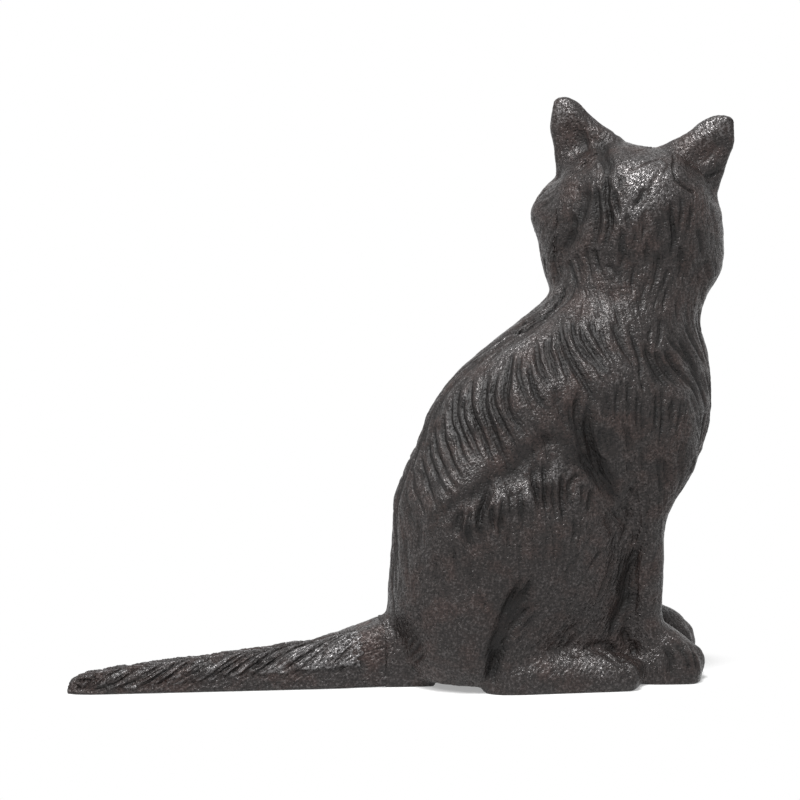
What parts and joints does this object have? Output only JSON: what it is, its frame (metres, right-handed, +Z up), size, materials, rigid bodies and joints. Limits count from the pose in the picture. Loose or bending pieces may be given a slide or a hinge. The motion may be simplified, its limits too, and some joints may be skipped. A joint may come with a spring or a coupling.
{
  "type": "cast iron doorstop",
  "caption": "Sitting cat doorstop in cast iron: two hollow half castings screwed together round a flat wedge tail.",
  "frame": {"origin": "on the floor, under the middle of the bounding box", "axes": "+X the way the cat's body faces, away from its tail; +Y the cat's left, the side it looks to; +Z up"},
  "size_m": [0.2826, 0.0954, 0.242],
  "materials": {
    "cast_body": "dark brown-black oiled casting with a fine sand grain",
    "cast_tail": "dark brown-black oiled casting with a fine sand grain",
    "screw_steel": "blackened steel, worn bright at the slot"
  },
  "bodies": {
    "root": {"right_half_casting": "cast_body", "left_half_casting": "cast_body", "tail_wedge": "cast_tail", "shoulder_screw": "screw_steel", "rump_screw": "screw_steel"}
  },
  "joints": []
}
